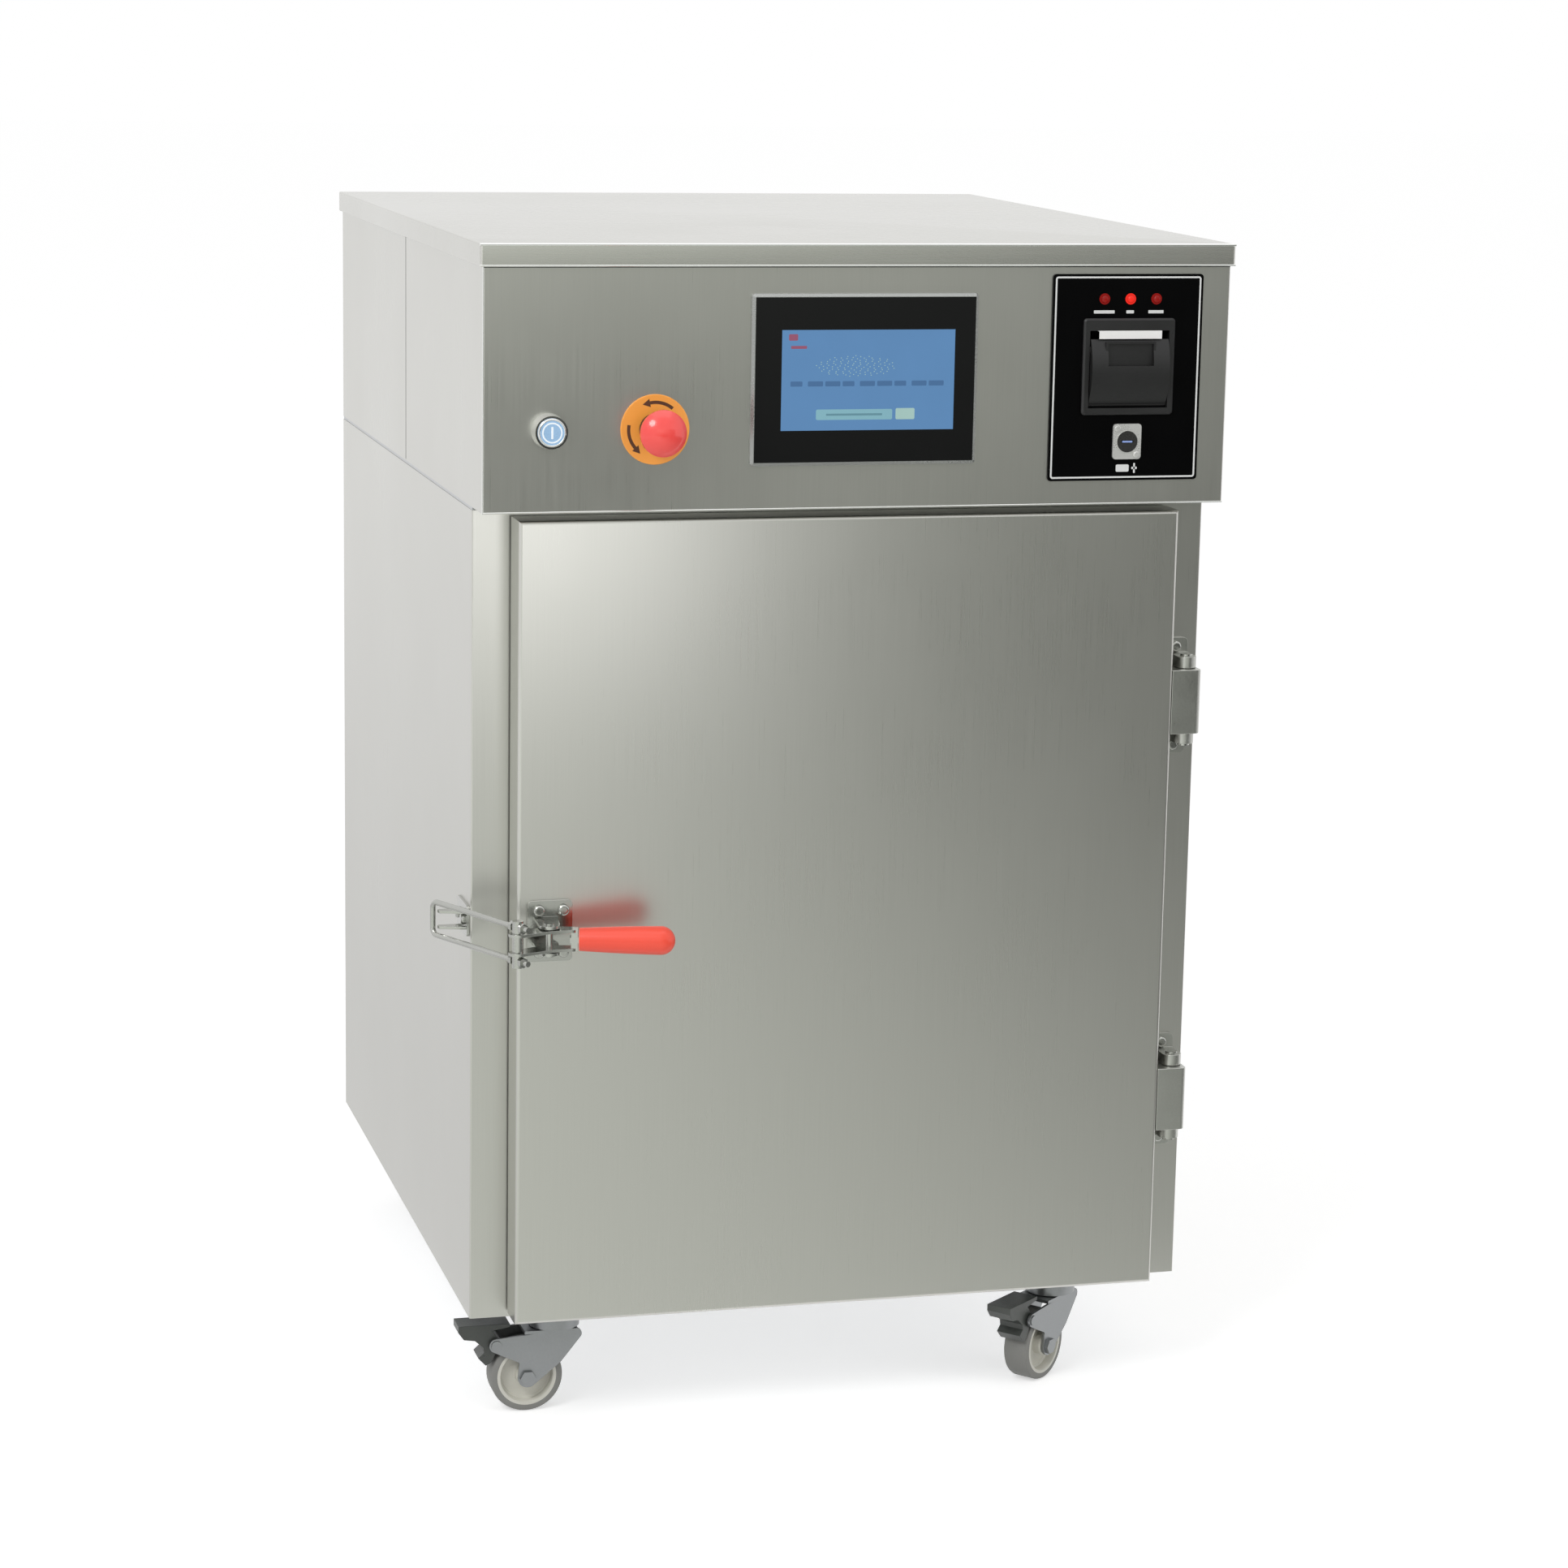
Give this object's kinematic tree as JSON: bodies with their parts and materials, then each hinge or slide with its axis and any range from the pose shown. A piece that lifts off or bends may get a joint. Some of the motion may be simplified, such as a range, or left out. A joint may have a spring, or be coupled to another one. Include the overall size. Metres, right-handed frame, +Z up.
{
  "type": "gas sterilizer",
  "caption": "Floor-standing gas sterilizer: insulated chamber with a side-hung front door and pull latch, console head with touch screen, printer and buttons, on castors.",
  "frame": {"origin": "on the floor, under the middle of the whole object's box", "axes": "+X to the right seen from the front, +Y to the back, +Z up; the door faces -Y"},
  "size_m": [0.6983, 0.8604, 1.055],
  "materials": {
    "stainless": "fine brushed stainless sheet",
    "chamber_stainless": "plain stainless sheet",
    "zinc_sheet": "zinc-plated pressed steel",
    "bright_steel": "satin turned and bent steel",
    "bezel_chrome": "polished ring",
    "wool": "mineral wool",
    "silicone": "soft silicone",
    "pump_metal": "cast and turned, plain",
    "electronics_case": "satin paint",
    "black_plastic": "fine-grained moulding",
    "black_plate": "matt black with a thin line near its edge",
    "screen": "smooth glass-like sheet over a lit display",
    "lamp_red": "clear red lens",
    "paper": "thin uncoated paper",
    "stop_orange": "flat sheet, bare",
    "stop_red": "smooth moulding",
    "lit_cap": "translucent lens over a light",
    "grip_red": "dipped soft vinyl",
    "tread_grey": "grey elastic tread on a pale plastic core",
    "pedal_dark": "dark coating"
  },
  "bodies": {
    "cabinet": {"base_pan": "zinc_sheet", "body_wrap": "stainless", "front_frame": "stainless", "top_deck": "zinc_sheet", "chamber_liner": "chamber_stainless", "insulation": "wool", "rear_baffle": "chamber_stainless", "heating_element": "chamber_stainless", "fan_motor": "pump_metal", "shelf_rails": "chamber_stainless", "vacuum_pump": "pump_metal", "vacuum_pipes": "pump_metal", "control_electronics": "electronics_case", "power_inlet": "black_plastic", "console_shell": "stainless", "rear_housing": "stainless", "top_cover": "stainless", "screen_bezel": "black_plastic", "screen_glass": "screen", "printer_plate": "black_plate", "indicator_lamps": "lamp_red", "printer_frame": "black_plastic", "paper_strip": "paper", "data_socket": "bright_steel", "stop_plate": "stop_orange", "stop_collar": "black_plastic", "power_bezel": "bezel_chrome", "hinge_brackets": "bright_steel", "hinge_pins": "bright_steel", "cabinet_fasteners": "bright_steel", "latch_catch": "bright_steel", "caster_plates": "zinc_sheet", "rear_forks": "zinc_sheet"},
    "door": {"door_skin": "stainless", "door_inner_panel": "stainless", "door_insulation": "wool", "door_gasket": "silicone", "hinge_blocks": "bright_steel", "latch_base": "bright_steel", "latch_fasteners": "bright_steel"},
    "lever": {"latch_lever": "bright_steel", "latch_grip": "grip_red"},
    "hook": {"hook_trunnion": "bright_steel", "hook_bolt": "bright_steel"},
    "stop_plunger": {"stop_stem": "black_plastic"},
    "stop_knob": {"stop_head": "stop_red"},
    "power_button": {"power_cap": "lit_cap"},
    "paper_door": {"printer_cover": "black_plastic"},
    "roll": {"paper_roll": "paper"},
    "fan": {"fan_impeller": "chamber_stainless"},
    "upper_shelf": {"shelf_upper": "chamber_stainless"},
    "lower_shelf": {"shelf_lower": "chamber_stainless"},
    "swivel_front_left": {"fork_front_left": "zinc_sheet"},
    "wheel_front_left": {"wheel_front_left": "tread_grey"},
    "brake_front_left": {"pedal_front_left": "pedal_dark"},
    "swivel_front_right": {"fork_front_right": "zinc_sheet"},
    "wheel_front_right": {"wheel_front_right": "tread_grey"},
    "brake_front_right": {"pedal_front_right": "pedal_dark"},
    "wheel_rear_left": {"wheel_rear_left": "tread_grey"},
    "wheel_rear_right": {"wheel_rear_right": "tread_grey"}
  },
  "joints": [
    {"name": "door_swing", "type": "hinge", "parent": "cabinet", "child": "door", "pos_m": [0.32775, -0.34675, 0.463], "axis": [0, 0, 1], "range_deg": [0, 115]},
    {"name": "lever_swing", "type": "hinge", "parent": "door", "child": "lever", "pos_m": [-0.26275, -0.39675, 0.463], "axis": [0, 0, -1], "range_deg": [-3.25, 60]},
    {"name": "hook_swing", "type": "hinge", "parent": "lever", "child": "hook", "pos_m": [-0.29275, -0.40875, 0.463], "axis": [0, 0, -1], "range_deg": [-120.5, 7]},
    {"name": "stop_push", "type": "slide", "parent": "cabinet", "child": "stop_plunger", "axis": [0, 1, 0], "range_m": [0, 0.005]},
    {"name": "stop_twist", "type": "hinge", "parent": "stop_plunger", "child": "stop_knob", "pos_m": [-0.16915, -0.40475, 0.8981], "axis": [0, 1, 0], "range_deg": [0, 45], "stiffness_Nm_per_rad": 0.05},
    {"name": "power_push", "type": "slide", "parent": "cabinet", "child": "power_button", "axis": [0, 1, 0], "range_m": [0, 0.003], "stiffness_N_per_m": 500, "springref_m": -0.001},
    {"name": "paper_door_tip", "type": "hinge", "parent": "cabinet", "child": "paper_door", "pos_m": [0.25285, -0.37225, 0.9158], "axis": [1, 0, 0], "range_deg": [0, 60]},
    {"name": "roll_spin", "type": "hinge", "parent": "cabinet", "child": "roll", "pos_m": [0.25285, -0.34225, 0.9408], "axis": [1, 0, 0], "continuous": true},
    {"name": "fan_spin", "type": "hinge", "parent": "cabinet", "child": "fan", "pos_m": [0.01425, 0.20475, 0.463], "axis": [0, 1, 0], "continuous": true},
    {"name": "upper_shelf_slide", "type": "slide", "parent": "cabinet", "child": "upper_shelf", "axis": [0, -1, 0], "range_m": [0, 0.035]},
    {"name": "lower_shelf_slide", "type": "slide", "parent": "cabinet", "child": "lower_shelf", "axis": [0, -1, 0], "range_m": [0, 0.035]},
    {"name": "swivel_turn_front_left", "type": "hinge", "parent": "cabinet", "child": "swivel_front_left", "pos_m": [-0.23275, -0.28225, 0.077], "axis": [0, 0, 1], "continuous": true},
    {"name": "wheel_spin_front_left", "type": "hinge", "parent": "swivel_front_left", "child": "wheel_front_left", "pos_m": [-0.25975, -0.28225, 0.033], "axis": [0, 1, 0], "continuous": true},
    {"name": "brake_press_front_left", "type": "hinge", "parent": "swivel_front_left", "child": "brake_front_left", "pos_m": [-0.28845, -0.28225, 0.065], "axis": [0, -1, 0], "range_deg": [0, 6]},
    {"name": "swivel_turn_front_right", "type": "hinge", "parent": "cabinet", "child": "swivel_front_right", "pos_m": [0.24025, -0.28225, 0.077], "axis": [0, 0, 1], "continuous": true},
    {"name": "wheel_spin_front_right", "type": "hinge", "parent": "swivel_front_right", "child": "wheel_front_right", "pos_m": [0.21957, -0.29961, 0.033], "axis": [-0.6428, 0.766, 0], "continuous": true},
    {"name": "brake_press_front_right", "type": "hinge", "parent": "swivel_front_right", "child": "brake_front_right", "pos_m": [0.19758, -0.31805, 0.065], "axis": [0.6428, -0.766, 0], "range_deg": [0, 6]},
    {"name": "wheel_spin_rear_left", "type": "hinge", "parent": "cabinet", "child": "wheel_rear_left", "pos_m": [-0.23275, 0.34175, 0.033], "axis": [1, 0, 0], "continuous": true},
    {"name": "wheel_spin_rear_right", "type": "hinge", "parent": "cabinet", "child": "wheel_rear_right", "pos_m": [0.24025, 0.34175, 0.033], "axis": [1, 0, 0], "continuous": true}
  ],
  "couplings": [
    {"joint": "hook_swing", "follows": "lever_swing", "ratio": -2}
  ]
}
